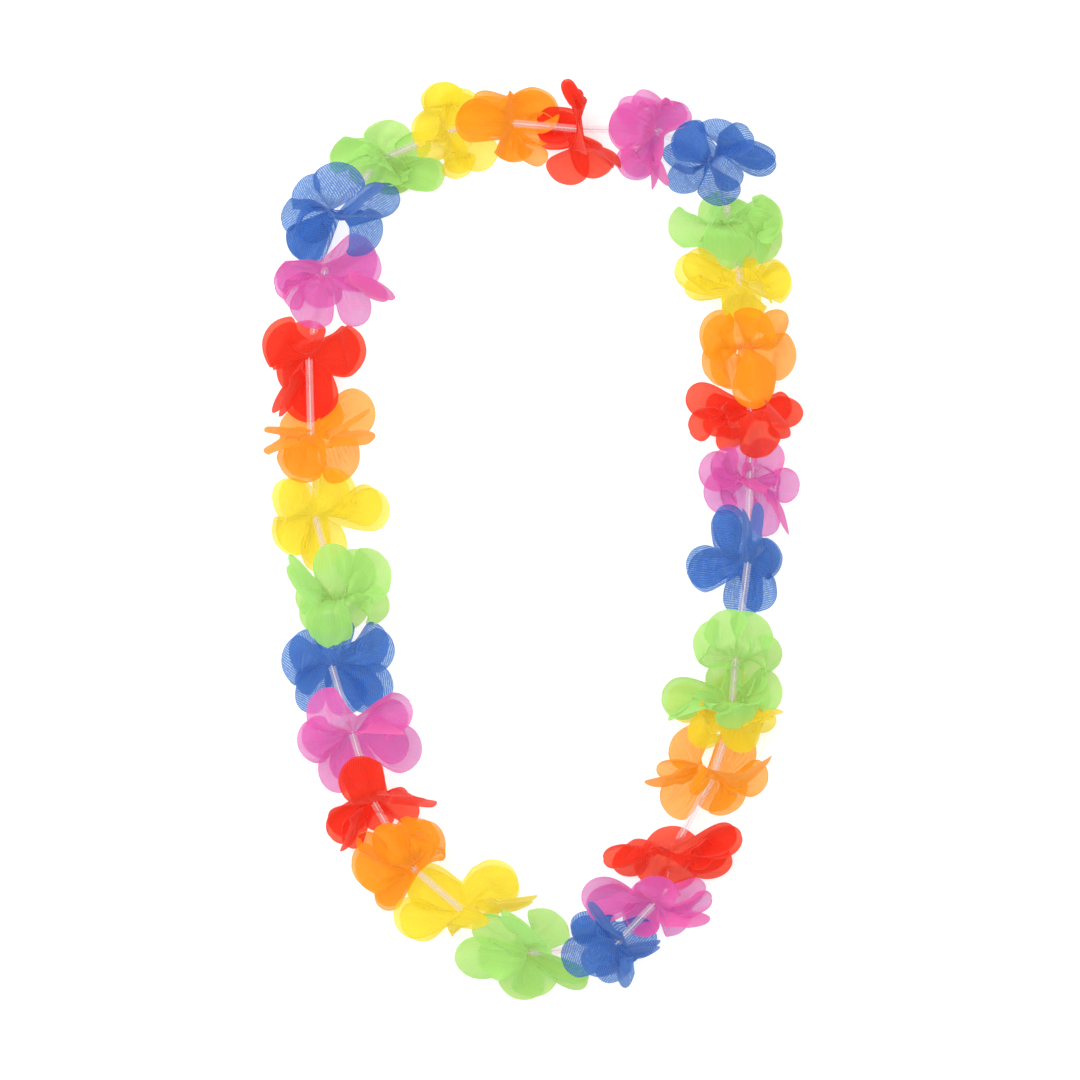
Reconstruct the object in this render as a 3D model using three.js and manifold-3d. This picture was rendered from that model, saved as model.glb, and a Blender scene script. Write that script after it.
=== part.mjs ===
// A party lei laid flat in a tall oval: cloth flowers strung on a thread, with a clear
// straw between each flower and the next. Millimetres, +Z up, lying on the plane z = 0.
import * as THREE from "three";
import { mergeVertices } from "three/addons/utils/BufferGeometryUtils.js";
import Module from "manifold-3d";

const wasm = await Module();
wasm.setup();

// Driving dimensions.
const layoutUnit = 0.5; // size of one unit of the layout below
const layoutCentre = { x: 534.3, y: 541.2 }; // layout point above the origin
const petalLength = 37; // hub centre to tip, before the petal bends
const petalWidth = 26; // widest part of a petal, pressed flat
const petalThickness = 0.5; // two sheer layers lying together
const threadHeight = 9; // thread above the table
const threadDiameter = 0.8;
const hubRadius = 4; // pleated middle of a flower, gathered round the thread
const hubThickness = 1.4;
const hubHoleRadius = 1.1;
const hubSides = 8;
const rootRadius = 3.2; // where the petals leave the hub
const strawRadius = 1.9;
const strawBore = 1.5;
const strawSides = 8;
const threadSides = 8;
const knotRadius = 1.5;
const knotSegments = 10;
const restGap = 0.3; // between a straw's end and the flower that stops it
const lipHeight = 0.35; // how much of a cupped petal's lost width turns up at its edges
const standHeight = 0.62; // the same for a petal that stands on its edge
const archHeight = 0.3; // how much of a petal's spare length humps up
const edgeOnShare = 0.5; // a petal seen narrower than this share stands on its edge

// Stations along a petal, root to tip: share of its length, and share of its half width.
const stations = [
  [0, 0.12],
  [0.62, 1],
  [1, 0.45],
];
const flatFrom = 1; // first station of a floor petal that lies on the table

const hues = {
  green: { color: 0x96d769, roughness: 0.8 },
  yellow: { color: 0xfde128, roughness: 0.8 },
  orange: { color: 0xff9f23, roughness: 0.8 },
  red: { color: 0xfa3c23, roughness: 0.8 },
  purple: { color: 0xde5ab4, roughness: 0.8 },
  blue: { color: 0x3c64be, roughness: 0.8 },
  straw: { color: 0xe9f0f2, roughness: 0.2 },
  thread: { color: 0xfafafa, roughness: 0.6 },
};

// The flowers in order along the thread, clockwise from the upper left. Places are in
// layout units, x to the right and y down the table. "at" is the hub, and a petal is
// [tip x, tip y, width seen from above, tip height in millimetres]. Height 0 lies flat.
const flowers = [
  { hue: "green", at: [384, 158], petals: [[390, 121, 44, 16], [329, 155, 30, 3],
    [445, 178, 33, 5], [398, 194, 42, 0]] },
  { hue: "yellow", at: [447, 131], petals: [[439, 82, 24, 20], [470, 90, 28, 8],
    [409, 130, 30, 13], [458, 179, 30, 2], [497, 153, 28, 5]] },
  { hue: "orange", at: [511, 123], petals: [[455, 123, 40, 17], [480, 92, 26, 14],
    [552, 98, 42, 12], [508, 162, 40, 0], [541, 163, 20, 3]] },
  { hue: "red", at: [579, 129], petals: [[566, 80, 13, 20], [577, 186, 58, 0],
    [536, 128, 36, 5], [621, 168, 28, 3]] },
  { hue: "purple", at: [654, 130], petals: [[644, 89, 24, 20], [608, 125, 44, 14],
    [627, 178, 34, 4], [690, 110, 30, 13]] },
  { hue: "blue", at: [714, 158], petals: [[662, 149, 34, 2], [722, 119, 36, 18],
    [750, 128, 30, 18], [777, 165, 30, 5], [672, 188, 30, 0], [722, 206, 42, 12]] },
  { hue: "green", at: [731, 225], petals: [[669, 224, 34, 4], [718, 197, 44, 4],
    [784, 215, 42, 12], [785, 252, 28, 3], [735, 262, 44, 16], [725, 272, 36, 4]] },
  { hue: "yellow", at: [741, 286], petals: [[675, 265, 38, 10], [791, 280, 32, 11],
    [682, 294, 12, 8], [746, 325, 42, 0], [769, 303, 12, 16]] },
  { hue: "orange", at: [743, 348], petals: [[695, 328, 36, 12], [757, 308, 40, 16],
    [796, 360, 42, 4], [712, 386, 36, 5], [758, 409, 42, 15]] },
  { hue: "red", at: [751, 412], petals: [[685, 397, 32, 5], [689, 430, 32, 2],
    [757, 458, 38, 0], [805, 413, 28, 5], [720, 449, 28, 3]] },
  { hue: "purple", at: [750, 480], petals: [[699, 468, 36, 12], [702, 500, 30, 3],
    [775, 440, 30, 16], [801, 486, 32, 6], [768, 536, 28, 2]] },
  { hue: "blue", at: [748, 561], petals: [[723, 505, 32, 14], [686, 572, 44, 3],
    [745, 618, 40, 0], [768, 608, 28, 3], [783, 560, 44, 6]] },
  { hue: "green", at: [736, 656], petals: [[700, 621, 44, 4], [771, 622, 40, 5],
    [783, 654, 30, 12], [738, 618, 40, 13]] },
  { hue: "green", at: [732, 703], petals: [[661, 695, 40, 12], [735, 658, 44, 4],
    [781, 687, 40, 3], [742, 729, 46, 22], [669, 718, 8, 8]] },
  { hue: "yellow", at: [733, 716], petals: [[688, 742, 36, 14], [748, 752, 42, 12],
    [777, 726, 28, 5]] },
  { hue: "orange", at: [713, 776], petals: [[669, 746, 38, 4], [771, 755, 9, 14],
    [769, 776, 30, 3], [736, 815, 44, 0], [669, 808, 46, 2], [650, 775, 20, 8],
    [689, 791, 12, 18]] },
  { hue: "red", at: [672, 853], petals: [[601, 860, 30, 5], [743, 835, 24, 11],
    [668, 826, 50, 4], [736, 862, 34, 4], [690, 890, 44, 3]] },
  { hue: "purple", at: [655, 903], petals: [[580, 896, 34, 6], [660, 874, 54, 14],
    [707, 884, 26, 4], [713, 896, 14, 12], [691, 925, 40, 0], [628, 933, 36, 4]] },
  { hue: "blue", at: [615, 945], petals: [[588, 902, 14, 18], [571, 917, 34, 4],
    [562, 962, 40, 14], [603, 984, 30, 0], [622, 988, 14, 8], [661, 940, 28, 12]] },
  { hue: "green", at: [527, 953], petals: [[561, 916, 48, 12], [501, 910, 14, 16],
    [478, 914, 32, 3], [454, 960, 40, 4], [514, 1000, 40, 0], [548, 999, 44, 3]] },
  { hue: "yellow", at: [463, 911], petals: [[407, 871, 44, 1], [516, 868, 48, 5],
    [393, 920, 38, 2], [538, 895, 9, 14]] },
  { hue: "orange", at: [411, 866], petals: [[438, 822, 46, 12], [375, 826, 38, 12],
    [351, 868, 46, 6], [381, 910, 36, 0]] },
  { hue: "red", at: [373, 801], petals: [[354, 757, 46, 16], [437, 801, 12, 14],
    [418, 818, 28, 3], [329, 836, 30, 4], [347, 850, 26, 2]] },
  { hue: "purple", at: [352, 732], petals: [[320, 692, 40, 12], [409, 702, 36, 11],
    [298, 750, 42, 5], [421, 756, 42, 3], [332, 790, 38, 0]] },
  { hue: "blue", at: [331, 664], petals: [[282, 652, 48, 5], [303, 712, 30, 0],
    [388, 699, 40, 3], [391, 640, 40, 5], [330, 630, 40, 4]] },
  { hue: "green", at: [338, 600], petals: [[289, 554, 18, 14], [304, 627, 26, 12],
    [320, 553, 40, 13], [384, 563, 44, 5], [387, 615, 40, 11], [330, 648, 48, 14]] },
  { hue: "yellow", at: [315, 515], petals: [[281, 477, 42, 4], [352, 478, 28, 3],
    [389, 510, 40, 4], [342, 548, 34, 3], [283, 549, 40, 0]] },
  { hue: "orange", at: [311, 436], petals: [[284, 413, 36, 1], [366, 393, 46, 1],
    [375, 434, 15, 12], [264, 445, 12, 10], [356, 481, 42, 11], [288, 481, 44, 12]] },
  { hue: "red", at: [309, 357], petals: [[275, 313, 32, 12], [366, 346, 40, 4],
    [315, 410, 50, 6], [275, 415, 14, 3]] },
  { hue: "purple", at: [324, 276], petals: [[384, 255, 42, 6], [274, 283, 34, 4],
    [310, 329, 42, 5], [362, 325, 36, 12], [396, 299, 14, 12]] },
  { hue: "blue", at: [333, 210], petals: [[296, 186, 46, 5], [345, 164, 48, 12],
    [401, 198, 32, 4], [365, 247, 44, 12], [300, 258, 44, 3]] },
];
const knotAfter = 14; // the thread is tied between this flower and the next
const bareGaps = [7, 20]; // the thread runs bare after these flowers, under their petals

const up = new THREE.Vector3(0, 0, 1);

function place(x, y, z) {
  return new THREE.Vector3((x - layoutCentre.x) * layoutUnit, (layoutCentre.y - y) * layoutUnit, z);
}

function around(list, index) {
  return list[(index + list.length) % list.length];
}

function number(index) {
  return String(index + 1).padStart(2, "0");
}

function piece(name, geometry, hue) {
  const mesh = new THREE.Mesh(geometry, new THREE.MeshStandardMaterial({ ...hues[hue], metalness: 0 }));
  mesh.name = name;
  return mesh;
}

function toSolid(geometry) {
  const bare = geometry.clone();
  bare.deleteAttribute("normal");
  bare.deleteAttribute("uv");
  const merged = mergeVertices(bare, 1e-4);
  return new wasm.Manifold(new wasm.Mesh({
    numProp: 3,
    vertProperties: new Float32Array(merged.attributes.position.array),
    triVerts: new Uint32Array(merged.index.array),
  }));
}

function toGeometry(solid) {
  const { vertProperties, triVerts } = solid.getMesh();
  const geometry = new THREE.BufferGeometry();
  geometry.setAttribute("position", new THREE.BufferAttribute(new Float32Array(vertProperties), 3));
  geometry.setIndex(new THREE.BufferAttribute(new Uint32Array(triVerts), 1));
  geometry.computeVertexNormals();
  return geometry;
}

// A round bar, or a tube where it has a bore, from a point along a direction.
function roundBar(from, direction, length, radius, bore, sides) {
  const profile = [
    new THREE.Vector2(bore, 0),
    new THREE.Vector2(radius, 0),
    new THREE.Vector2(radius, length),
    new THREE.Vector2(bore, length),
  ];
  if (bore > 0) {
    profile.push(new THREE.Vector2(bore, 0));
  }
  const bar = new THREE.LatheGeometry(profile, sides);
  bar.applyQuaternion(new THREE.Quaternion().setFromUnitVectors(new THREE.Vector3(0, 1, 0), direction));
  bar.translate(from.x, from.y, from.z);
  return bar;
}

// Closes a grid of points (rows along the petal, columns across it) into a thin slab.
function slab(rows, normals) {
  const columns = rows[0].length;
  const layer = rows.length * columns;
  const points = [];
  for (const side of [0.5, -0.5]) {
    rows.forEach((row, i) => row.forEach((point) => {
      points.push(point.clone().addScaledVector(normals[i], side * petalThickness));
    }));
  }
  const faces = [];
  const quad = (a, b, c, d) => faces.push(a, b, c, a, c, d);
  for (let i = 0; i + 1 < rows.length; i += 1) {
    for (let j = 0; j + 1 < columns; j += 1) {
      const corner = i * columns + j;
      quad(corner, corner + 1, corner + columns + 1, corner + columns);
      const under = corner + layer;
      quad(under, under + columns, under + columns + 1, under + 1);
    }
    const left = i * columns;
    const right = left + columns - 1;
    quad(left, left + columns, left + columns + layer, left + layer);
    quad(right + columns, right, right + layer, right + columns + layer);
  }
  for (let j = 0; j + 1 < columns; j += 1) {
    const tip = (rows.length - 1) * columns + j;
    quad(j + 1, j, j + layer, j + 1 + layer);
    quad(tip, tip + 1, tip + 1 + layer, tip + layer);
  }
  const geometry = new THREE.BufferGeometry();
  const positions = points.flatMap((point) => point.toArray());
  geometry.setAttribute("position", new THREE.Float32BufferAttribute(positions, 3));
  geometry.setIndex(faces);
  return geometry;
}

// One petal: it leaves the hub above or below the thread, bends, and reaches its tip.
// A wide petal turns its edges up, and a narrow one stands on its edge.
function petalShape(hub, [tipX, tipY, seenWidth, tipHeight]) {
  const floor = petalThickness / 2;
  const tip = place(tipX, tipY, Math.max(tipHeight, floor));
  const heading = tip.clone().sub(hub.centre).setZ(0).normalize();
  const across = heading.dot(hub.side);
  const turn = (tipHeight > threadHeight ? 1 : -1) * Math.sqrt(1 - across * across);
  const root = hub.centre.clone().addScaledVector(hub.side, across * rootRadius);
  root.addScaledVector(up, turn * rootRadius);
  const right = heading.clone().cross(up);
  const width = seenWidth * layoutUnit;
  const lost = Math.sqrt(Math.max(0, 1 - (width / petalWidth) ** 2)) * petalWidth / 2;
  const edgeOn = width < edgeOnShare * petalWidth;
  const spare = Math.sqrt(Math.max(0, petalLength ** 2 - root.distanceToSquared(tip)));
  const centres = stations.map(([along, share], i) => {
    const centre = root.clone().lerp(tip, along);
    if (tipHeight > threadHeight) {
      centre.z += archHeight * spare * 4 * along * (1 - along);
    } else {
      centre.z = tip.z + (root.z - tip.z) * (1 - along) ** 3;
    }
    if (tipHeight === 0 && i >= flatFrom) {
      centre.z = floor;
    }
    const stand = edgeOn ? standHeight * lost * share : 0;
    centre.z = Math.max(centre.z, stand + floor);
    return centre;
  });
  const rows = centres.map((centre, i) => {
    const half = width / 2 * stations[i][1];
    const rise = lost * stations[i][1];
    const left = centre.clone().addScaledVector(right, -half);
    const far = centre.clone().addScaledVector(right, half);
    if (edgeOn) {
      left.z -= standHeight * rise;
      far.z += standHeight * rise;
    } else if (tipHeight > 0) {
      left.z += lipHeight * rise;
      far.z += lipHeight * rise;
      return [left, centre, far];
    }
    return [left, far];
  });
  const normals = rows.map((row, i) => {
    if (tipHeight === 0) {
      return up;
    }
    const before = centres[Math.max(0, i - 1)];
    const after = centres[Math.min(centres.length - 1, i + 1)];
    return row[row.length - 1].clone().sub(row[0]).cross(after.clone().sub(before)).normalize();
  });
  return slab(rows, normals);
}

function hubOf(index) {
  const centre = place(...flowers[index].at, threadHeight);
  const before = place(...around(flowers, index - 1).at, threadHeight);
  const after = place(...around(flowers, index + 1).at, threadHeight);
  const arriving = centre.clone().sub(before).normalize();
  const leaving = after.clone().sub(centre).normalize();
  const forward = arriving.clone().add(leaving).normalize();
  const halfTurn = arriving.angleTo(leaving) / 2;
  return { centre, forward, side: forward.clone().cross(up), halfTurn };
}

const hubs = flowers.map((flower, index) => hubOf(index));

function flowerShape(flower, hub) {
  const barAtHub = (length, radius) => {
    const from = hub.centre.clone().addScaledVector(hub.forward, -length / 2);
    return toSolid(roundBar(from, hub.forward, length, radius, 0, hubSides));
  };
  let solid = barAtHub(hubThickness, hubRadius);
  for (const petal of flower.petals) {
    solid = solid.add(toSolid(petalShape(hub, petal)));
  }
  return toGeometry(solid.subtract(barAtHub(2 * hubRadius, hubHoleRadius)));
}

// A straw fills the thread between two flowers. Its ends stay clear of hubs that turn.
function strawShape(hub, next) {
  const span = next.centre.clone().sub(hub.centre);
  const direction = span.clone().normalize();
  const reach = (end) => {
    const face = hubThickness / 2 / Math.cos(end.halfTurn);
    return face + strawRadius * Math.tan(end.halfTurn) + restGap;
  };
  const from = hub.centre.clone().addScaledVector(direction, reach(hub));
  const length = span.length() - reach(hub) - reach(next);
  return roundBar(from, direction, length, strawRadius, strawBore, strawSides);
}

// The thread's route as straight runs from hub to hub, stepped at each given point.
class ThreadRoute extends THREE.Curve {
  constructor(points) {
    super();
    this.points = points;
  }

  getPoint(share, target = new THREE.Vector3()) {
    const along = share * (this.points.length - 1);
    const index = Math.min(Math.floor(along), this.points.length - 2);
    return target.lerpVectors(this.points[index], this.points[index + 1], along - index);
  }

  getUtoTmapping(share) {
    return share;
  }
}

// The thread goes once round from its knot, through every hub, and back to the knot.
function threadShape() {
  const centres = hubs.map((hub) => hub.centre);
  const order = [...centres.slice(knotAfter), ...centres.slice(0, knotAfter)];
  const knot = order[0].clone().lerp(order[order.length - 1], 0.5);
  const points = [knot, ...order, knot];
  const corners = Array.from({ length: threadSides }, (_, k) => {
    const angle = (k / threadSides) * 2 * Math.PI;
    return new THREE.Vector2(Math.cos(angle), Math.sin(angle)).multiplyScalar(threadDiameter / 2);
  });
  const strand = new THREE.ExtrudeGeometry(new THREE.Shape(corners), {
    steps: points.length - 1,
    extrudePath: new ThreadRoute(points),
    bevelEnabled: false,
  });
  const ball = new THREE.SphereGeometry(knotRadius, knotSegments, knotSegments / 2);
  ball.translate(knot.x, knot.y, knot.z);
  return toGeometry(toSolid(strand).add(toSolid(ball)));
}

const lei = new THREE.Group();
lei.name = "lei";
flowers.forEach((flower, index) => {
  lei.add(piece(`flower_${number(index)}_${flower.hue}`, flowerShape(flower, hubs[index]), flower.hue));
});
flowers.forEach((flower, index) => {
  if (index + 1 === knotAfter || bareGaps.includes(index + 1)) {
    return;
  }
  lei.add(piece(`straw_${number(index)}`, strawShape(hubs[index], around(hubs, index + 1)), "straw"));
});
lei.add(piece("thread", threadShape(), "thread"));

export default lei;
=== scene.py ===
import math
import random

import bmesh
import bpy
import numpy as np
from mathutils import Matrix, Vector


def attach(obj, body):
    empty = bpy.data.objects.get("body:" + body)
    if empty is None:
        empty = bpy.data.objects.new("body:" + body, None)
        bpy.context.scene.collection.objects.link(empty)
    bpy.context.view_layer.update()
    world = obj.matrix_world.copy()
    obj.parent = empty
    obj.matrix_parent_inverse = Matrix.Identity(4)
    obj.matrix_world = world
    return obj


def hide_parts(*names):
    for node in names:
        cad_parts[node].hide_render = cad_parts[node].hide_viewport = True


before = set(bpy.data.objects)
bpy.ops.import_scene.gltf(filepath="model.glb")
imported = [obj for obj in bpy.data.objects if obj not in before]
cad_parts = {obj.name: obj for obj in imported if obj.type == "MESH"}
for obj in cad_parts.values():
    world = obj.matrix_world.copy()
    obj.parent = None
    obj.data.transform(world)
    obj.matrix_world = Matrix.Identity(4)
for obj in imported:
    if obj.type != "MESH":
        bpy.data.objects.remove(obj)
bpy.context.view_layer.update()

scene = bpy.context.scene

# Where things lie. Layout points are the photograph's pixels, y down the table.
layout = {
    "unit": 0.0005,  # metres to one layout unit
    "centre": (534.3, 541.2),  # layout point at the origin
    "threadHeight": 0.009,
    "knotAfter": 14,  # the thread is tied between this flower and the next
}


def place(x, y, z=layout["threadHeight"]):
    cx, cy = layout["centre"]
    return np.array([(x - cx) * layout["unit"], (cy - y) * layout["unit"], z])


# camera
cameraSetup = {
    "middle": (540, 540),  # layout point in the middle of the picture
    "tableWidth": 0.540,  # seen across the picture, at the thread's height
    "distance": 5.0,
    "sensor": 36.0,
}


def makeCamera():
    data = bpy.data.cameras.new("overheadCamera")
    data.sensor_width = cameraSetup["sensor"]
    data.lens = cameraSetup["sensor"] * cameraSetup["distance"] / cameraSetup["tableWidth"]
    data.clip_end = 20
    camera = bpy.data.objects.new("overheadCamera", data)
    spot = place(*cameraSetup["middle"])
    camera.location = (spot[0], spot[1], spot[2] + cameraSetup["distance"])
    scene.collection.objects.link(camera)
    scene.camera = camera


makeCamera()
print("camera is above the table")


# shared shader groups
def newGroup(name, inputs, outputs):
    tree = bpy.data.node_groups.new(name, "ShaderNodeTree")
    for label, kind, value in inputs:
        socket = tree.interface.new_socket(label, in_out="INPUT", socket_type=kind)
        if value is not None:
            socket.default_value = value
    for label, kind in outputs:
        tree.interface.new_socket(label, in_out="OUTPUT", socket_type=kind)
    return tree, tree.nodes.new("NodeGroupInput"), tree.nodes.new("NodeGroupOutput")


def wire(tree, value, socket):
    if isinstance(value, bpy.types.NodeSocket):
        tree.links.new(value, socket)
    else:
        socket.default_value = value


# a node with some of its inputs set or wired
def addNode(tree, kind, **values):
    node = tree.nodes.new(kind)
    for label, value in values.items():
        wire(tree, value, node.inputs[label])
    return node


def calc(tree, operation, *values):
    node = tree.nodes.new("ShaderNodeMath")
    node.operation = operation
    for value, socket in zip(values, node.inputs):
        wire(tree, value, socket)
    return node.outputs[0]


def blendColour(tree, share, first, second):
    node = tree.nodes.new("ShaderNodeMix")
    node.data_type = "RGBA"
    wire(tree, share, node.inputs[0])
    wire(tree, first, node.inputs[6])
    wire(tree, second, node.inputs[7])
    return node.outputs[2]


def ramp(tree, value, low, high, toLow=0.0, toHigh=1.0):
    node = tree.nodes.new("ShaderNodeMapRange")
    node.interpolation_type = "SMOOTHSTEP"
    for socket, given in zip(node.inputs, (value, low, high, toLow, toHigh)):
        wire(tree, given, socket)
    return node.outputs[0]


def noise(tree, vector, scale, detail=2.0, roughness=0.5):
    node = addNode(tree, "ShaderNodeTexNoise", Vector=vector, Scale=scale, Detail=detail, Roughness=roughness)
    return node.outputs["Fac"]


def splitVector(tree, vector):
    return addNode(tree, "ShaderNodeSeparateXYZ", Vector=vector).outputs


# how far a face is turned from the eye
def facing(tree, blend):
    return addNode(tree, "ShaderNodeLayerWeight", Blend=blend).outputs["Facing"]


def mixShaders(tree, share, first, second):
    node = tree.nodes.new("ShaderNodeMixShader")
    for value, socket in zip((share, first, second), node.inputs):
        wire(tree, value, socket)
    return node.outputs[0]


def bumpNormal(tree, height, strength, distance):
    node = addNode(tree, "ShaderNodeBump", Height=height, Strength=strength, Distance=distance)
    return node.outputs["Normal"]


weavePattern = {
    "wanderScale": 60.0,
    "wander": 0.0022,  # how far threads stray in all, in metres
    "slubScale": 420.0,  # thick and thin places
    "slubDetail": 3.0,
}


# threads along the cloth with weaker ones across, thick and thin at random
def makeWeaveGroup():
    tree, given, result = newGroup(
        "openWeave",
        [("Cloth", "NodeSocketVector", None), ("Threads", "NodeSocketFloat", 900.0),
         ("Across", "NodeSocketFloat", 0.25), ("Slub", "NodeSocketFloat", 0.35)],
        [("Cover", "NodeSocketFloat"), ("Height", "NodeSocketFloat")],
    )
    cloth = given.outputs["Cloth"]
    sides = splitVector(tree, cloth)
    stray = calc(tree, "SUBTRACT", noise(tree, cloth, weavePattern["wanderScale"]), 0.5)
    wander = calc(tree, "MULTIPLY", stray, weavePattern["wander"])
    lines = []
    for axis in (0, 1):
        at = calc(tree, "ADD", sides[axis], wander)
        turns = calc(tree, "MULTIPLY", at, given.outputs["Threads"])
        wave = calc(tree, "COSINE", calc(tree, "MULTIPLY", turns, 2 * math.pi))
        lines.append(calc(tree, "MULTIPLY_ADD", wave, 0.5, 0.5))
    both = calc(tree, "MAXIMUM", lines[0], calc(tree, "MULTIPLY", lines[1], given.outputs["Across"]))
    slub = noise(tree, cloth, weavePattern["slubScale"], weavePattern["slubDetail"])
    slub = calc(tree, "MULTIPLY", calc(tree, "SUBTRACT", slub, 0.5), 2.0)
    cover = calc(tree, "MULTIPLY_ADD", slub, given.outputs["Slub"], both)
    tree.links.new(cover, result.inputs["Cover"])
    tree.links.new(both, result.inputs["Height"])
    return tree


# across a petal runs from -1 to 1 and along it from 0 to 1
bladePattern = {
    "bendScale": 3.0,
    "bend": 0.35,  # how far a vein strays across the petal in all
    "veinPower": 3.0,  # how narrow the veins are
    "veinStart": (0.02, 0.15),
    "veinEnd": (0.98, 0.45),
    "creaseStretch": (13.0, 1.3, 1.0),  # creases run along the petal
    "creaseNoise": (1.0, 3.0, 0.6),
    "creaseShare": (0.50, 0.72),
    "sideEdge": (0.93, 0.995),
    "tipEdge": (0.975, 0.998),
}


# pressed veins that fan from the root, with creases along the petal, as one mask that also carries painted
# shade in the creases; and how near the cut edge is
def makeBladeGroup():
    tree, given, result = newGroup(
        "pressedBlade",
        [("Blade", "NodeSocketVector", None), ("Veins", "NodeSocketFloat", 11.0)],
        [("Vein", "NodeSocketFloat"), ("Edge", "NodeSocketFloat")],
    )
    across, along = splitVector(tree, given.outputs["Blade"])[:2]
    stray = calc(tree, "SUBTRACT", noise(tree, given.outputs["Blade"], bladePattern["bendScale"]), 0.5)
    bend = calc(tree, "MULTIPLY", stray, bladePattern["bend"])
    spread = calc(tree, "MULTIPLY", calc(tree, "ADD", across, bend), given.outputs["Veins"])
    wave = calc(tree, "COSINE", calc(tree, "MULTIPLY", spread, math.pi))
    line = calc(tree, "POWER", calc(tree, "MULTIPLY_ADD", wave, 0.5, 0.5), bladePattern["veinPower"])
    started = ramp(tree, along, *bladePattern["veinStart"])
    fade = calc(tree, "MULTIPLY", ramp(tree, along, *bladePattern["veinEnd"]), started)
    stretched = tree.nodes.new("ShaderNodeVectorMath")
    stretched.operation = "MULTIPLY"
    wire(tree, given.outputs["Blade"], stretched.inputs[0])
    wire(tree, bladePattern["creaseStretch"], stretched.inputs[1])
    crease = noise(tree, stretched.outputs[0], *bladePattern["creaseNoise"])
    crease = ramp(tree, crease, *bladePattern["creaseShare"])
    tree.links.new(calc(tree, "MULTIPLY", calc(tree, "MAXIMUM", line, crease), fade), result.inputs["Vein"])
    side = ramp(tree, calc(tree, "ABSOLUTE", across), *bladePattern["sideEdge"])
    end = ramp(tree, along, *bladePattern["tipEdge"])
    tree.links.new(calc(tree, "MAXIMUM", side, end), result.inputs["Edge"])
    return tree


weaveGroup = makeWeaveGroup()
bladeGroup = makeBladeGroup()


def useGroup(tree, group, **values):
    node = tree.nodes.new("ShaderNodeGroup")
    node.node_tree = group
    for label, value in values.items():
        wire(tree, value, node.inputs[label])
    return node


def newMaterial(name):
    material = bpy.data.materials.new(name)
    material.use_nodes = True
    tree = material.node_tree
    tree.nodes.clear()
    return material, tree, tree.nodes.new("ShaderNodeOutputMaterial")


def uvNode(tree, name):
    node = tree.nodes.new("ShaderNodeUVMap")
    node.uv_map = name
    return node.outputs[0]


# sheer cloth
# one is a single layer's colour over white and many the colour of a thick pile, both as
# they are seen. threads is their count to a metre and weave how much they show.
sheer = {
    "blue": {"one": (138, 168, 215), "many": (54, 100, 182), "threads": 850.0, "weave": 0.55},
    "green": {"one": (190, 228, 143), "many": (166, 224, 116), "threads": 1100.0, "weave": 0.07},
    "yellow": {"one": (241, 236, 130), "many": (240, 216, 48), "threads": 1100.0, "weave": 0.07},
    "orange": {"one": (255, 185, 112), "many": (255, 153, 14), "threads": 1100.0, "weave": 0.07},
    "red": {"one": (248, 104, 82), "many": (238, 46, 24), "threads": 900.0, "weave": 0.16},
    "purple": {"one": (228, 165, 207), "many": (222, 90, 173), "threads": 950.0, "weave": 0.12},
}
sheerShared = {
    "light": 0.98,  # how much brighter than its own colour the lamps make a thread
    "floor": 1.13,  # and how bright the table is
    "vein": 0.14,  # how much denser the pressed veins are
    "edge": 0.14,  # and the sealed edge
    "meanWeave": 0.56,  # what the weave's cover is on average
    "thinnest": 0.05,  # least and most that a layer covers
    "thickest": 0.97,
    "brightest": 0.97,  # most that a thread's own colour may be
    "slant": 1.6,  # how much denser cloth looks when it is seen from its edge
    "slantBlend": 0.5,
    "slantPower": 2.0,
    "glow": 0.35,  # share of the light on the threads that comes out behind them
    "shade": 0.22,  # how much of its cover a layer keeps for light on its way to other things
    "sameDye": 0.03,  # one and many count as alike in a channel that differs by less
    "creasePaintedShade": 0.9,  # painted shade: how dark the threads are painted in the veins and creases beside the rest of the cloth
    "roughness": 0.62,
    "specular": 0.25,
    "sheen": 0.12,
    "veinHeight": 1.4,  # beside the weave's
    "bump": 0.25,
    "bumpDistance": 0.0002,
}


def linear(colour):
    values = [c / 255 for c in colour]
    return [c / 12.92 if c <= 0.04045 else ((c + 0.055) / 1.055) ** 2.4 for c in values]


# a layer's cover, and the colours of its threads and of what passes between them
def clothOptics(cloth):
    one, many = linear(cloth["one"]), linear(cloth["many"])
    white, same = sheerShared["floor"], sheerShared["sameDye"]
    through = [(a - b) / (white - b) if a > b + same else 0.0 for a, b in zip(one, many)]
    clearest = max(through)
    through = [share if a > b + same else clearest for share, a, b in zip(through, one, many)]
    back = [b * (1 - share) for share, b in zip(through, many)]
    cover = 1 - clearest
    face = [min(sheerShared["brightest"], value / cover / sheerShared["light"]) for value in back]
    return cover, face, [value / clearest for value in through]


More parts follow.
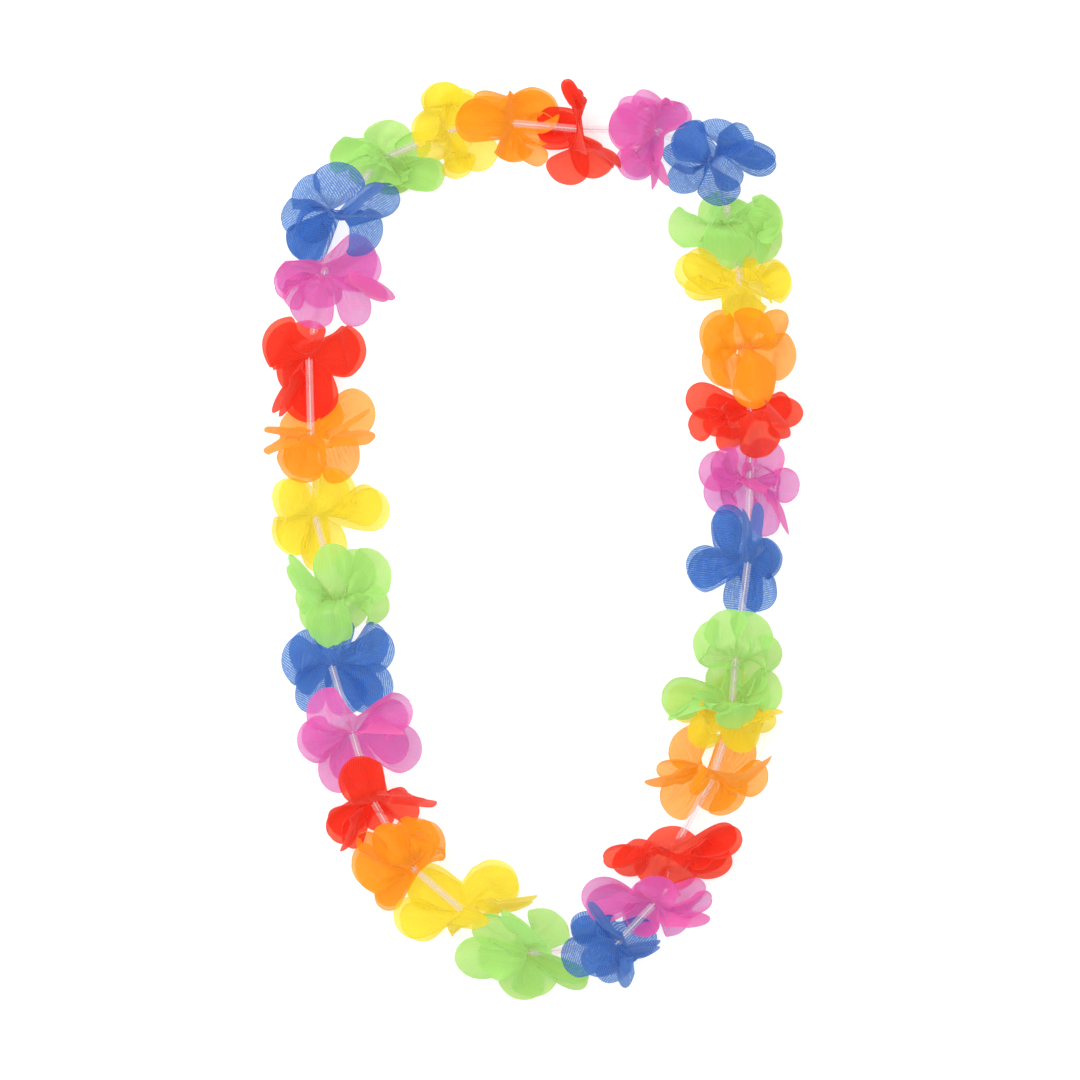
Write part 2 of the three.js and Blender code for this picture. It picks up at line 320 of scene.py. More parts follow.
def makeSheer(hue):
    cloth = sheer[hue]
    clothCover, face, through = clothOptics(cloth)
    material, tree, output = newMaterial(f"sheer_{hue}")
    weave = useGroup(tree, weaveGroup, Cloth=uvNode(tree, "cloth"), Threads=cloth["threads"])
    blade = useGroup(tree, bladeGroup, Blade=uvNode(tree, "blade"))
    woven = calc(tree, "SUBTRACT", weave.outputs["Cover"], sheerShared["meanWeave"])
    cover = calc(tree, "MULTIPLY_ADD", woven, cloth["weave"], clothCover)
    cover = calc(tree, "MULTIPLY_ADD", blade.outputs["Vein"], sheerShared["vein"], cover)
    cover = calc(tree, "MULTIPLY_ADD", blade.outputs["Edge"], sheerShared["edge"], cover)
    cover = calc(tree, "MAXIMUM", cover, sheerShared["thinnest"])
    cover = calc(tree, "MINIMUM", cover, sheerShared["thickest"])
    # cloth covers more where it is seen at a slant
    slant = calc(tree, "POWER", facing(tree, sheerShared["slantBlend"]), sheerShared["slantPower"])
    slant = calc(tree, "MULTIPLY_ADD", slant, sheerShared["slant"], 1.0)
    cover = calc(tree, "SUBTRACT", 1.0, calc(tree, "POWER", calc(tree, "SUBTRACT", 1.0, cover), slant))
    geometry = tree.nodes.new("ShaderNodeNewGeometry")
    path = tree.nodes.new("ShaderNodeLightPath")
    # a sheet has two faces, and the one that is met from inside is clear
    front = calc(tree, "SUBTRACT", 1.0, geometry.outputs["Backfacing"])
    seen = path.outputs["Is Camera Ray"]
    kept = calc(tree, "MULTIPLY_ADD", seen, 1.0 - sheerShared["shade"], sheerShared["shade"])
    kept = calc(tree, "MULTIPLY", kept, front)
    cover = calc(tree, "MULTIPLY", cover, kept)
    passed = blendColour(tree, kept, (1, 1, 1, 1), (*through, 1))
    # painted shade: the threads' colour is darkened in the veins and creases, where the pleats would be in
    # shade
    paintedShadeColour = tuple(c * sheerShared["creasePaintedShade"] for c in face)
    faceWithPaintedShade = blendColour(tree, blade.outputs["Vein"], (*face, 1), (*paintedShadeColour, 1))
    height = calc(tree, "MULTIPLY_ADD", blade.outputs["Vein"], sheerShared["veinHeight"],
                  weave.outputs["Height"])
    threads = addNode(tree, "ShaderNodeBsdfPrincipled", **{
        "Base Color": faceWithPaintedShade,
        "Roughness": sheerShared["roughness"],
        "Specular IOR Level": sheerShared["specular"],
        "Sheen Weight": sheerShared["sheen"],
        "Normal": bumpNormal(tree, height, sheerShared["bump"], sheerShared["bumpDistance"]),
    })
    lit = addNode(tree, "ShaderNodeBsdfTranslucent", Color=faceWithPaintedShade)
    body = mixShaders(tree, sheerShared["glow"], threads.outputs[0], lit.outputs[0])
    clear = addNode(tree, "ShaderNodeBsdfTransparent", Color=passed)
    tree.links.new(mixShaders(tree, cover, clear.outputs[0], body), output.inputs["Surface"])
    return material


sheerMaterials = {hue: makeSheer(hue) for hue in sheer}


# clear straw and white thread
strawLook = {
    "milk": 0.14,  # how white the plastic is, seen square on
    "rim": 0.36,  # and how much whiter it gets towards its sides
    "streaks": 0.03,
    "streakScale": 160.0,
    "tint": (0.992, 0.978, 0.985, 1),  # what passes, square on
    "rimTint": (0.955, 0.92, 0.94, 1),
    "body": (0.95, 0.81, 0.86, 1),
    "streaked": (0.97, 0.97, 0.98, 1),
    "sideBlend": 0.35,  # how narrow the brighter sides are
    "sidePower": 1.6,
    "shadowCut": 0.75,  # how much less it covers for shadows
    "roughness": 0.12,
    "coat": 0.25,
    "coatRoughness": 0.05,
}


def makeStrawMaterial():
    material, tree, output = newMaterial("clear_straw")
    coordinates = tree.nodes.new("ShaderNodeTexCoord").outputs["Object"]
    streak = noise(tree, coordinates, strawLook["streakScale"])
    side = calc(tree, "POWER", facing(tree, strawLook["sideBlend"]), strawLook["sidePower"])
    path = tree.nodes.new("ShaderNodeLightPath")
    geometry = tree.nodes.new("ShaderNodeNewGeometry")
    cover = calc(tree, "MULTIPLY_ADD", side, strawLook["rim"], strawLook["milk"])
    cover = calc(tree, "MULTIPLY_ADD", calc(tree, "SUBTRACT", streak, 0.5), strawLook["streaks"], cover)
    kept = calc(tree, "MULTIPLY_ADD", path.outputs["Is Shadow Ray"], -strawLook["shadowCut"], 1.0)
    cover = calc(tree, "MULTIPLY", cover, kept)
    cover = calc(tree, "MULTIPLY", cover, calc(tree, "SUBTRACT", 1.0, geometry.outputs["Backfacing"]))
    passed = blendColour(tree, side, strawLook["tint"], strawLook["rimTint"])
    clear = addNode(tree, "ShaderNodeBsdfTransparent", Color=passed)
    plastic = addNode(tree, "ShaderNodeBsdfPrincipled", **{
        "Base Color": blendColour(tree, streak, strawLook["body"], strawLook["streaked"]),
        "Roughness": strawLook["roughness"],
        "Coat Weight": strawLook["coat"],
        "Coat Roughness": strawLook["coatRoughness"],
    })
    whole = mixShaders(tree, cover, clear.outputs[0], plastic.outputs[0])
    tree.links.new(whole, output.inputs["Surface"])
    return material


threadLook = {
    "dull": (0.86, 0.85, 0.83, 1),
    "bright": (0.99, 0.99, 0.98, 1),
    "fibres": (2600.0, 3.0, 0.6),  # scale, detail and roughness of their noise
    "roughness": 0.7,
    "sheen": 0.3,
    "bump": 0.4,
    "bumpDistance": 0.0001,
    "litColour": (0.98, 0.96, 0.96, 1),
    "glow": 0.3,  # share of the light that comes out behind it
}


def makeThreadMaterial():
    material, tree, output = newMaterial("white_thread")
    coordinates = tree.nodes.new("ShaderNodeTexCoord").outputs["Object"]
    fibres = noise(tree, coordinates, *threadLook["fibres"])
    spun = addNode(tree, "ShaderNodeBsdfPrincipled", **{
        "Base Color": blendColour(tree, fibres, threadLook["dull"], threadLook["bright"]),
        "Roughness": threadLook["roughness"],
        "Sheen Weight": threadLook["sheen"],
        "Normal": bumpNormal(tree, fibres, threadLook["bump"], threadLook["bumpDistance"]),
    })
    lit = addNode(tree, "ShaderNodeBsdfTranslucent", Color=threadLook["litColour"])
    whole = mixShaders(tree, threadLook["glow"], spun.outputs[0], lit.outputs[0])
    tree.links.new(whole, output.inputs["Surface"])
    return material


strawMaterial = makeStrawMaterial()
threadMaterial = makeThreadMaterial()
print("materials are mixed")

# flowers
# In order along the thread, clockwise from the upper left: colour, place, and whether the
# petals lie over or under the thread on the way in and on the way out. A petal is (tip x,
# tip y, width seen from above, tip height in millimetres, layers of cloth). One whose tip
# is high stands over the thread on either side. A narrow one is on its edge unless rolled.
flowers = [
    ("green", (384, 158), "over under", [
        (398, 121, 46, 6, 1), (329, 160, 32, 3, 2), (444, 180, 36, 5, 2), (398, 194, 42, 0, 1),
        (372, 182, 36, 0, 1), (410, 188, 40, 0, 1), (430, 140, 30, 4, 1), (350, 178, 34, 0, 1)]),
    ("yellow", (447, 131), "over under", [
        (440, 82, 42, 12, 2), (474, 92, 42, 6, 2), (411, 131, 36, 12, 2), (420, 158, 36, 8, 1),
        (461, 178, 34, 3, 2), (495, 162, 40, 3, 1)]),
    ("orange", (511, 123), "over under", [
        (455, 123, 40, 17, 2), (475, 94, 30, 12, 2), (558, 104, 46, 12, 2), (556, 131, 34, 4, 1),
        (518, 162, 38, 3, 2), (544, 164, 24, 3, 1)]),
    ("red", (579, 129), "under under", [
        (566, 80, 14, 20, 1, "rolled"), (568, 82, 14, 20, 1, "rolled"), (563, 184, 44, 0, 1),
        (603, 176, 40, 0, 1), (536, 122, 36, 5, 2), (540, 143, 22, 3, 1), (621, 168, 14, 6, 2),
        (585, 155, 12, 14, 1)]),
    ("purple", (654, 130), "over under", [
        (640, 90, 34, 18, 1), (620, 100, 36, 16, 1), (608, 128, 46, 14, 2), (626, 178, 40, 6, 2),
        (652, 190, 8, 4, 1), (668, 186, 12, 6, 1), (690, 110, 28, 13, 2)]),
    ("blue", (714, 158), "over over", [
        (675, 131, 42, 12, 2), (662, 152, 30, 4, 1), (720, 119, 50, 18, 1), (750, 131, 32, 18, 1),
        (777, 165, 30, 5, 2), (736, 189, 30, 16, 1), (669, 187, 34, 0, 1), (725, 206, 44, 12, 1)]),
    ("green", (731, 225), "over over", [
        (668, 226, 40, 4, 1), (704, 197, 36, 0, 1), (728, 197, 46, 0, 1), (740, 200, 40, 0, 1),
        (783, 218, 46, 12, 2), (780, 250, 46, 3, 1), (762, 262, 44, 3, 1), (730, 262, 50, 16, 1),
        (716, 270, 46, 4, 1)]),
    ("yellow", (741, 286), "under over", [
        (675, 266, 38, 10, 2), (684, 288, 26, 3, 1), (792, 281, 40, 8, 2), (770, 303, 10, 14, 1),
        (746, 324, 42, 7, 2), (735, 262, 40, 5, 1), (764, 264, 40, 5, 1)]),
    ("orange", (743, 348), "over over", [
        (704, 318, 46, 12, 2), (757, 309, 46, 16, 1), (738, 316, 46, 12, 1), (787, 313, 32, 8, 1),
        (796, 363, 50, 4, 1), (758, 409, 42, 15, 2), (708, 378, 46, 3, 1), (722, 387, 44, 5, 1)]),
    ("red", (751, 412), "under over", [
        (686, 394, 36, 5, 1), (706, 402, 24, 4, 1), (689, 430, 32, 3, 1), (703, 428, 32, 5, 1),
        (719, 449, 30, 2, 1), (761, 458, 42, 12, 1), (718, 432, 36, 8, 1), (804, 413, 32, 5, 1),
        (792, 404, 30, 6, 1), (787, 438, 14, 12, 1)]),
    ("purple", (750, 480), "under under", [
        (699, 466, 40, 6, 1), (714, 455, 38, 8, 1), (706, 503, 44, 3, 1), (736, 516, 44, 2, 1),
        (776, 442, 40, 6, 1), (735, 446, 36, 6, 1), (800, 488, 36, 6, 1), (770, 536, 30, 2, 1),
        (789, 535, 10, 8, 1), (744, 464, 12, 14, 1)]),
    ("blue", (748, 561), "over under", [
        (722, 505, 36, 14, 2), (686, 569, 44, 3, 2), (740, 617, 40, 2, 1), (764, 611, 36, 4, 1),
        (783, 556, 42, 6, 2), (743, 509, 10, 18, 1), (755, 503, 14, 16, 1)]),
    ("green", (736, 656), "over under", [
        (697, 630, 46, 4, 1), (722, 610, 46, 12, 1), (758, 614, 50, 12, 1), (783, 652, 40, 5, 1),
        (750, 662, 48, 2, 1)]),
    ("green", (732, 703), "under over", [
        (661, 696, 42, 12, 1), (720, 660, 36, 5, 1), (752, 656, 44, 5, 1), (781, 682, 44, 5, 1),
        (770, 690, 36, 3, 1), (740, 728, 46, 22, 1), (735, 722, 40, 12, 1), (668, 718, 13, 8, 2),
        (748, 700, 40, 8, 1)]),
    ("yellow", (733, 716), "under over", [
        (689, 741, 38, 14, 2), (749, 752, 42, 12, 2), (777, 722, 28, 3, 1), (784, 712, 8, 6, 1),
        (667, 697, 40, 0, 1), (735, 672, 44, 0, 1), (760, 695, 36, 0, 1), (705, 685, 36, 0, 1)]),
    ("orange", (713, 776), "under under", [
        (680, 730, 50, 4, 1), (748, 733, 44, 2, 1), (656, 768, 22, 10, 1), (644, 782, 14, 8, 1),
        (664, 810, 46, 2, 1), (733, 813, 46, 2, 1), (718, 812, 40, 3, 1), (769, 777, 38, 3, 1),
        (771, 757, 14, 14, 1), (689, 791, 14, 26, 1, "rolled")]),
    ("red", (672, 853), "over over", [
        (603, 859, 24, 5, 1), (612, 866, 36, 5, 1), (668, 826, 52, 4, 1), (640, 880, 46, 3, 1),
        (714, 850, 30, 10, 1), (742, 835, 32, 11, 2), (733, 864, 38, 4, 2), (680, 891, 44, 3, 1)]),
    ("purple", (655, 903), "over under", [
        (581, 895, 40, 6, 2), (648, 876, 50, 14, 1), (664, 877, 44, 15, 1), (706, 885, 30, 4, 1),
        (712, 898, 22, 12, 1), (710, 917, 12, 8, 1), (688, 927, 44, 0, 1), (630, 932, 40, 4, 2)]),
    ("blue", (615, 945), "under over", [
        (572, 918, 36, 4, 2), (588, 902, 14, 18, 1), (562, 962, 42, 14, 1), (585, 972, 38, 8, 1),
        (606, 984, 32, 0, 1), (623, 987, 16, 8, 1), (661, 941, 14, 12, 2), (656, 931, 40, 3, 1)]),
    ("green", (527, 953), "under over", [
        (560, 915, 50, 12, 1), (501, 911, 14, 16, 2), (474, 921, 34, 10, 1), (454, 959, 42, 4, 1),
        (478, 958, 40, 6, 1), (520, 1001, 46, 0, 1), (540, 997, 46, 3, 1), (587, 986, 22, 3, 2)]),
    ("yellow", (463, 911), "over under", [
        (411, 871, 46, 1, 2), (513, 868, 50, 5, 2), (393, 918, 42, 2, 2), (538, 895, 12, 14, 2),
        (454, 934, 5, 6, 1), (488, 919, 6, 10, 1)]),
    ("orange", (411, 866), "under over", [
        (434, 822, 44, 12, 1), (420, 818, 40, 10, 1), (406, 816, 28, 8, 1), (377, 826, 38, 12, 2),
        (351, 862, 46, 6, 2), (380, 909, 30, 0, 2), (358, 836, 24, 4, 1)]),
    ("red", (373, 801), "under over", [
        (353, 757, 46, 16, 1), (357, 759, 42, 14, 1), (437, 801, 10, 14, 1), (425, 799, 10, 14, 1),
        (419, 816, 28, 3, 1), (330, 838, 32, 4, 2), (340, 852, 10, 6, 1), (348, 848, 26, 2, 1),
        (384, 830, 30, 4, 1)]),
    ("purple", (352, 732), "under over", [
        (314, 694, 44, 12, 1), (411, 703, 38, 11, 2), (297, 746, 44, 5, 2), (421, 757, 50, 3, 1),
        (408, 752, 40, 5, 1), (333, 793, 40, 0, 1), (356, 786, 46, 2, 1), (404, 731, 14, 14, 1)]),
    ("blue", (331, 664), "under over", [
        (281, 656, 50, 5, 1), (292, 638, 44, 4, 1), (394, 643, 44, 5, 1), (386, 632, 40, 4, 1),
        (391, 697, 44, 3, 1), (378, 706, 40, 2, 1), (352, 714, 44, 1, 1), (303, 712, 34, 0, 1),
        (298, 690, 26, 3, 1), (333, 613, 46, 3, 1)]),
    ("green", (338, 600), "over over", [
        (290, 554, 14, 14, 2), (296, 590, 42, 8, 1), (303, 626, 42, 10, 1), (330, 543, 42, 13, 1),
        (384, 556, 48, 5, 1), (362, 550, 46, 6, 1), (390, 609, 40, 9, 1), (356, 628, 50, 6, 1),
        (328, 648, 48, 14, 1)]),
    ("yellow", (315, 515), "under over", [
        (275, 484, 42, 4, 2), (345, 472, 46, 3, 2), (390, 508, 42, 4, 2), (330, 566, 44, 3, 1),
        (318, 572, 32, 2, 1), (278, 548, 44, 2, 2)]),
    ("orange", (311, 436), "over under", [
        (283, 416, 40, 0, 1), (372, 400, 48, 0, 1), (325, 392, 44, 0, 1), (265, 432, 7, 14, 1),
        (264, 449, 12, 10, 1), (375, 434, 16, 12, 1), (370, 409, 7, 18, 1), (297, 482, 46, 12, 1),
        (300, 478, 44, 12, 1), (352, 476, 50, 11, 1)]),
    ("red", (309, 357), "under over", [
        (266, 330, 50, 12, 2), (366, 345, 48, 4, 2), (309, 423, 50, 10, 2), (272, 413, 12, 3, 1),
        (279, 417, 12, 6, 1), (303, 320, 44, 3, 1), (288, 392, 40, 4, 1)]),
    ("purple", (324, 276), "over under", [
        (373, 245, 50, 6, 1), (381, 262, 44, 6, 1), (274, 286, 34, 4, 2), (308, 328, 46, 12, 1),
        (315, 308, 46, 14, 1), (366, 323, 38, 12, 1), (395, 299, 18, 12, 2), (286, 304, 30, 3, 1)]),
    ("blue", (333, 210), "over over", [
        (296, 184, 44, 5, 1), (281, 222, 34, 5, 1), (345, 163, 50, 18, 1), (383, 184, 14, 14, 1),
        (400, 195, 34, 8, 1), (384, 217, 9, 15, 1), (377, 247, 50, 12, 1), (299, 238, 38, 14, 1),
        (296, 258, 46, 3, 2)]),
]
singleLayerFlowers = [13]  # the flower whose second layer has slid on to the next

petalCut = {
    "length": 0.0328,  # from the pleated middle to the tip, flat
    "width": 0.0255,
    "thickness": 0.00014,
    "rootRadius": 0.0032,  # the pleated middle
    "holeRadius": 0.0010,
    "notch": 0.32,  # share of the length where neighbouring petals part
    "notchWidth": 0.78,  # and a petal's share of its width there
    "widest": 0.65,  # share of the length where a petal is widest
    "seamCalm": (0.68, 0.48),  # share where its sides lie free, for a broad petal and a narrow one
    "petals": 5,  # cut in each layer
    "rowsToNotch": 8,
    "rowsToWidest": 12,
    "rowsToTip": 11,
    "columns": 16,
    "layerGap": 0.0008,  # between the two layers along the thread
    "pleats": 4,
    "pleatDepth": 0.0004,
    "pleatEnd": 0.6,
    "seamPower": 2.2,  # how near to its sides a petal gives way to its neighbours
    "ripple": 0.4,  # how much of the lost width goes into ripples, the rest curls the sides
    "steepest": 0.5,  # slope that a ripple may have
    "rumple": 0.00035,
    "waves": (1.0, 1.5, 2.0, 2.5),  # ripples across a petal, one of these
    "sideBow": (0.92, 1.08),  # how unlike the curl of its two sides may be
    "edgeWave": 0.02,  # and how uneven its outline
    "flatCalm": 0.3,  # how much rise is left to a petal that lies on the table
    "levelStep": 0.00008,  # between petals that lie on each other
    "weld": 2e-6,  # points of a seam this near are one
    "tipCalm": 0.8,  # how much flatter the ripples and the curl are at the tip
    "roundTip": 0.62,  # how round the line is that no part of a petal is seen beyond
    "tipFold": 0.0008,  # and how softly the cloth folds there
    "mostCurl": 0.40,  # a petal that is seen narrower than this share of its width is on its edge
    "edgeCurl": 0.985,  # such a petal is hardly curled or rippled
    "edgeCalm": 0.12,
    "edgeOn": 0.10,
    "standUp": 0.8,  # and lifted by this share of its half width
    "ceiling": 0.032,  # highest that a petal's middle may rise
    "sideCeiling": 0.0145,  # the same for one that leaves below the thread, to the side
    "underCeiling": 0.0062,  # and along the thread
    "twinLength": (0.88, 0.99),  # the other layer's copy of a doubled petal
    "twinWidth": 0.96,
    "twinTurn": (0.05, 0.16),
    "twinLift": (-0.0006, 0.0007),  # for a petal over the thread and for one under it
    "alongThread": 0.35,  # one that heads further along the thread than this stays under it
    "standing": 14,  # tip height in millimetres of a petal that stands over the thread
    "pointed": 0.45,  # narrower than this share of its width, a petal ends in a point
    "sharpTip": 1.25,  # roundness of a pointed tip, and of a full one
    "bluntTip": (2.0, 2.4),
    "sideLean": 0.05,  # how much a side's widest place varies
    "rest": 0.0004,  # lowest that cloth lies
    "press": 0.0003,  # over this height cloth is pressed flat on to the table
    "topBend": 0.034,  # above this height cloth bends over
    "top": 0.0425,
    "slacks": (1.0, 1.2, 1.4, 1.7, 2.1, 2.6),  # tried in turn till a layer keeps its area
    "areaKept": 0.74,
}


def unit(vector):
    return vector / np.linalg.norm(vector)


def hubAt(index):
    count, laps = len(flowers), flowers[index][2].split()
    here, before, after = (place(*flowers[k % count][1]) for k in (index, index - 1, index + 1))
    arriving, leaving = unit(here - before), unit(after - here)
    forward = unit(arriving + leaving)
    halfTurn = math.acos(float(np.clip(arriving @ leaving, -1, 1))) / 2
    side = np.cross(forward, (0, 0, 1))
    return {"centre": here, "forward": forward, "side": side, "halfTurn": halfTurn,
            "over": [lap == "over" for lap in laps]}


hubs = [hubAt(index) for index in range(len(flowers))]
up = np.array([0.0, 0.0, 1.0])


# where on the hub's rim a petal leaves, from its side and round by the top
def petalAngle(hub, petal):
    across = float(np.clip(petal["heading"] @ hub["side"], -1, 1))
    turn = math.sqrt(1 - across * across)
    return math.atan2(turn if petal["over"] else -turn, across)


def asPetal(hub, row, rng):
    x, y, width, height, layers, *how = row
    tip = place(x, y, height / 1000)
    heading = unit((tip - hub["centre"]) * (1, 1, 0))
    ahead = float(heading @ hub["forward"])
    over = hub["over"][int(ahead > 0)] or height >= petalCut["standing"]
    if not over and abs(ahead) > petalCut["alongThread"]:
        tip[2] = min(tip[2], petalCut["underCeiling"])
    return {"tip": tip, "heading": heading, "width": width * layout["unit"], "layers": layers,
            "over": over, "flat": height == 0, "rolled": "rolled" in how, "seed": rng.randrange(10**6),
            "curl": rng.choice((-1, 1)) if over else 1}


# a copy of a petal, shorter, narrower and turned about the hub
def shifted(petal, hub, length, width, turn, lift):
    reach = (petal["tip"] - hub["centre"]) * length
    spun = np.array([reach[0] - turn * reach[1], reach[1] + turn * reach[0], 0])
    tip = hub["centre"] + spun
    tip[2] = max(petalCut["rest"], petal["tip"][2] + lift)
    return {**petal, "tip": tip, "heading": unit((tip - hub["centre"]) * (1, 1, 0)),
            "width": petal["width"] * width}


# deals a flower's petals to its layers, five to each
def shareOut(index, rng):
    hub = hubs[index]
    petals = [asPetal(hub, row, rng) for row in flowers[index][3]]
    if index + 1 in singleLayerFlowers:
        return [petals]
    layers = [[], []]
    for petal in petals:
        if petal["layers"] == 2:
            turn = rng.uniform(*petalCut["twinTurn"]) * rng.choice((-1, 1))
            length = rng.uniform(*petalCut["twinLength"])
            lift = petalCut["twinLift"][0 if petal["over"] else 1]
            twin = shifted(petal, hub, length, petalCut["twinWidth"], turn, lift)
            pair = [petal, twin]
            rng.shuffle(pair)
            layers[0].append(pair[0])
            layers[1].append(pair[1])
    for petal in petals:
        if petal["layers"] == 1:
            min(layers, key=len).append(petal)
    return layers


# half width of a cut petal at a share of its length, as a share of its widest
def sideShare(along, widest, blunt):
    notch, width, root = petalCut["notch"], petalCut["notchWidth"], petalCut["rootRadius"]
    parting = notch * petalCut["length"]
    sewn = (root + np.clip(along / notch, 0, 1) * parting) / (root + parting)
    opening = np.clip((along - notch) / (widest - notch), 0, 1)
    base = width * sewn + (1 - width) * np.sin(np.pi / 2 * opening)
    past = np.clip((along - widest) / (1 - widest), 0, 1)
    tip = np.clip(1 - past ** blunt, 0, 1) ** (1 / blunt)
    return np.where(along < widest, base, tip)


def petalRows():
    notch, widest = petalCut["notch"], petalCut["widest"]
    angles = np.linspace(0, np.pi / 2, petalCut["rowsToTip"] + 1)[1:]
    return np.concatenate([
        np.linspace(0, notch, petalCut["rowsToNotch"])[:-1],
        np.linspace(notch, widest, petalCut["rowsToWidest"]),
        widest + (1 - widest) * np.sin(angles),
    ])


# keeps heights above the lowest, without pressing any two into one
def onTable(heights, lowest):
    soft = petalCut["press"]
    pressed = lowest + soft * np.exp(np.minimum(0, (heights - lowest) / soft - 1))
    return np.where(heights > lowest + soft, heights, pressed)


# and bends what would rise too high
def underTop(heights):
    low, high = petalCut["topBend"], petalCut["top"]
    return np.where(heights > low, low + (high - low) * np.tanh((heights - low) / (high - low)), heights)


def bezier(corners, steps=120):
    t = np.linspace(0, 1, steps)[:, None]
    p, q, r, s = corners
    return p * (1 - t) ** 3 + 3 * q * t * (1 - t) ** 2 + 3 * r * t * t * (1 - t) + s * t ** 3


def lengths(points):
    steps = np.linalg.norm(np.diff(points, axis=0), axis=1)
    return np.concatenate([[0], np.cumsum(steps)])


# a petal's middle, bowed until it is as long as the cloth or meets its ceiling
def middleLine(hub, petal, root, out, slack):
    tip, heading = petal["tip"], petal["heading"]
    chord = float(np.linalg.norm(tip - root))
    if petal["over"]:
        leave, arrive, ceiling = unit(out + heading * 0.25), heading * 0.8 - up * 0.3, petalCut["ceiling"]
        most = slack * (0.8 * chord + 0.003)
    else:
        most = slack * (0.45 * chord + 0.001)
        sideways = min(1.0, abs(float(heading @ hub["side"])) ** 2 * 1.6)
        low, high = petalCut["underCeiling"], petalCut["sideCeiling"]
        ceiling = max(low + (high - low) * sideways, root[2] + 0.0004)
        leave, arrive = unit(out * (1, 1, 0.5) + heading * 0.6), heading - up * 0.1

    def bowed(bow):
        line = bezier((root, root + leave * bow, tip - arrive * bow, tip))
        line[:, 2] = onTable(line[:, 2], petalCut["rest"])
        return line

    low, high = 0.003, most
    for _ in range(20):
        bow = (low + high) / 2
        line = bowed(bow)
        tooLong = lengths(line)[-1] > petalCut["length"] or line[:, 2].max() > ceiling
        low, high = (low, bow) if tooLong else (bow, high)
    return bowed(low)


# Sideways and upward places across a petal that is seen narrower than it was cut. Either it
# ripples and its sides curl up, or, if it is narrower still, it stands on its edge.
def crossSection(petal, share, along, across, rng):
    cut = petalCut["width"] / 2
    fullness = min(1.0, petal["width"] / petalCut["width"])
    onEdge = fullness < petalCut["mostCurl"] and not petal["rolled"]
    ripple = max(fullness ** petalCut["ripple"], 1 / (1 + petalCut["steepest"] ** 2 / 4))
    curl = petalCut["edgeCurl"] if onEdge else fullness / ripple
    # a curled strip of half width 1 that is bent through this angle is seen this wide
    angles = np.linspace(0.01, 2.9, 200)
    widths = np.where(angles < np.pi / 2, np.sin(angles) / angles, 1 / angles)
    bend = float(np.interp(-curl, -widths, angles))
    bow = [rng.uniform(*petalCut["sideBow"]) for _ in range(2)]
    turn = bend * across * np.where(across < 0, *bow)
    sideways = cut * ripple / bend * share * np.sin(turn)
    rise = cut * ripple / bend * share * (1 - np.cos(turn)) * petal["curl"]
    slope = min(petalCut["steepest"], 2 * math.sqrt(max(0.0, 1 / ripple - 1)))
    waves = rng.choice(petalCut["waves"])
    phase = rng.uniform(0, 2 * math.pi)
    swing = waves * math.pi * across + phase + 1.2 * np.sin(2.6 * along + phase)
    wave = slope * cut * curl / (waves * math.pi) * np.sin(swing)
    wave = wave + petalCut["rumple"] * np.sin(9 * across - 6 * along + 2 * phase) * along
    wave = wave * share * (1 - petalCut["tipCalm"] * along ** 3)
    rise = rise * (1 - 0.5 * petalCut["tipCalm"] * along ** 4)
    way = rng.choice((-1, 1))
    if not onEdge:
        return sideways, rise + wave * (petalCut["edgeCalm"] if petal["rolled"] else 1.0)
    rise = rise + wave * petalCut["edgeCalm"]
    tilt = way * math.acos(max(petalCut["edgeOn"], fullness)) * np.clip((along - 0.05) / 0.45, 0, 1)
    lift = np.abs(np.sin(tilt)) * cut * share * petalCut["standUp"]
    return sideways * np.cos(tilt) - rise * np.sin(tilt), sideways * np.sin(tilt) + rise * np.cos(tilt) + lift


# holds a petal's curled sides back behind a round line through its tip
def withinTip(hub, petal, points):
    away = points - hub["centre"]
    out = away @ petal["heading"]
    aside = away @ np.cross(petal["heading"], up)
    furthest = float((petal["tip"] - hub["centre"]) @ petal["heading"])
    halfWidth = max(petal["width"] / 2, 0.003)
    limit = furthest - petalCut["roundTip"] * aside ** 2 / halfWidth
    soft = petalCut["tipFold"]
    spare = (limit + soft - out) / soft
    held = limit + soft - soft * (np.maximum(spare, 0) + np.log1p(np.exp(-np.abs(spare))))
    return points + petal["heading"] * np.minimum(0, held - out)[..., None]


